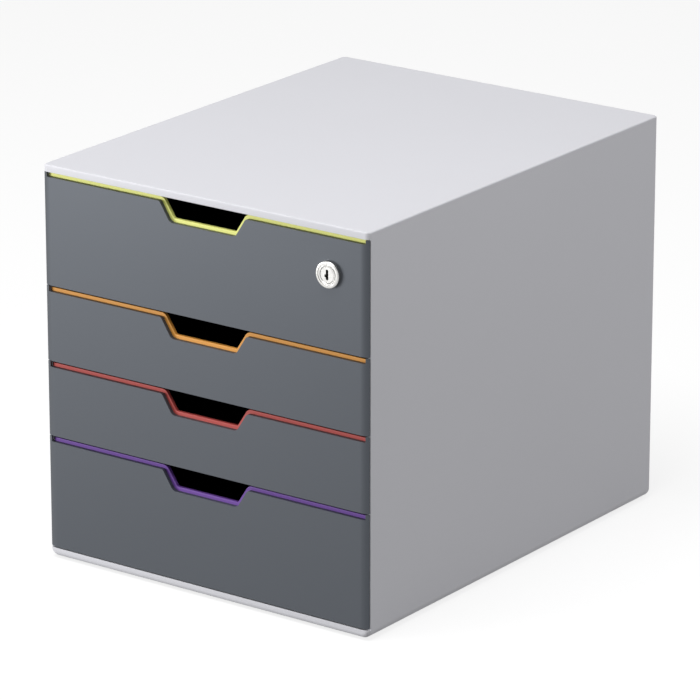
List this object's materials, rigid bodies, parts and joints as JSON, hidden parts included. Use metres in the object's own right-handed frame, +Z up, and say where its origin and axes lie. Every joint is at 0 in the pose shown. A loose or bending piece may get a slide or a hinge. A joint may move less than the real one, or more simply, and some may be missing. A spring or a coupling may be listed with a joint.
{
  "type": "desktop file drawer",
  "caption": "Desktop drawer box for A4 and C4 papers: a light grey case with full-width dark drawers, coloured strips along their top edges and a cam lock on the top one.",
  "frame": {"origin": "middle of the base on the desk: the bottom centre of the whole part's box, lock included", "axes": "+X to the right as seen from the front, +Y from the drawer fronts to the back, +Z up"},
  "size_m": [0.28, 0.3592, 0.292],
  "materials": {
    "case_plastic": "fine satin grain, light grey",
    "rear_plastic": "fine satin grain, grey",
    "runner_plastic": "smooth, mid grey",
    "front_plastic": "fine matte grain, anthracite",
    "tray_plastic": "fine matte grain, black",
    "strip_yellow": "satin, translucent tint",
    "strip_orange": "satin",
    "strip_red": "satin",
    "strip_purple": "satin",
    "lock_metal": "polished nickel plate",
    "steel": "zinc-plated",
    "foot_rubber": "matte"
  },
  "bodies": {
    "case": {"housing_shell": "case_plastic", "rear_panel": "rear_plastic", "left_runner_frame": "runner_plastic", "right_runner_frame": "runner_plastic", "foot_front_left": "foot_rubber", "foot_front_right": "foot_rubber", "foot_rear_left": "foot_rubber", "foot_rear_right": "foot_rubber", "lock_strike": "steel"},
    "drawer_1": {"drawer_1_tray": "tray_plastic", "drawer_1_front": "front_plastic", "drawer_1_strip": "strip_yellow", "lock_barrel": "lock_metal", "lock_nut": "steel"},
    "drawer_2": {"drawer_2_tray": "tray_plastic", "drawer_2_front": "front_plastic", "drawer_2_strip": "strip_orange"},
    "drawer_3": {"drawer_3_tray": "tray_plastic", "drawer_3_front": "front_plastic", "drawer_3_strip": "strip_red"},
    "drawer_4": {"drawer_4_tray": "tray_plastic", "drawer_4_front": "front_plastic", "drawer_4_strip": "strip_purple"},
    "lock_core": {"lock_plug": "lock_metal", "lock_cam": "steel", "lock_cam_screw": "steel"}
  },
  "joints": [
    {"name": "drawer_1_slide", "type": "slide", "parent": "case", "child": "drawer_1", "axis": [0, -1, 0], "range_m": [0, 0.262]},
    {"name": "drawer_2_slide", "type": "slide", "parent": "case", "child": "drawer_2", "axis": [0, -1, 0], "range_m": [0, 0.262]},
    {"name": "drawer_3_slide", "type": "slide", "parent": "case", "child": "drawer_3", "axis": [0, -1, 0], "range_m": [0, 0.262]},
    {"name": "drawer_4_slide", "type": "slide", "parent": "case", "child": "drawer_4", "axis": [0, -1, 0], "range_m": [0, 0.262]},
    {"name": "lock_turn", "type": "hinge", "parent": "drawer_1", "child": "lock_core", "pos_m": [0.1074, -0.1784, 0.2576], "axis": [0, 1, 0], "range_deg": [0, 90]}
  ]
}
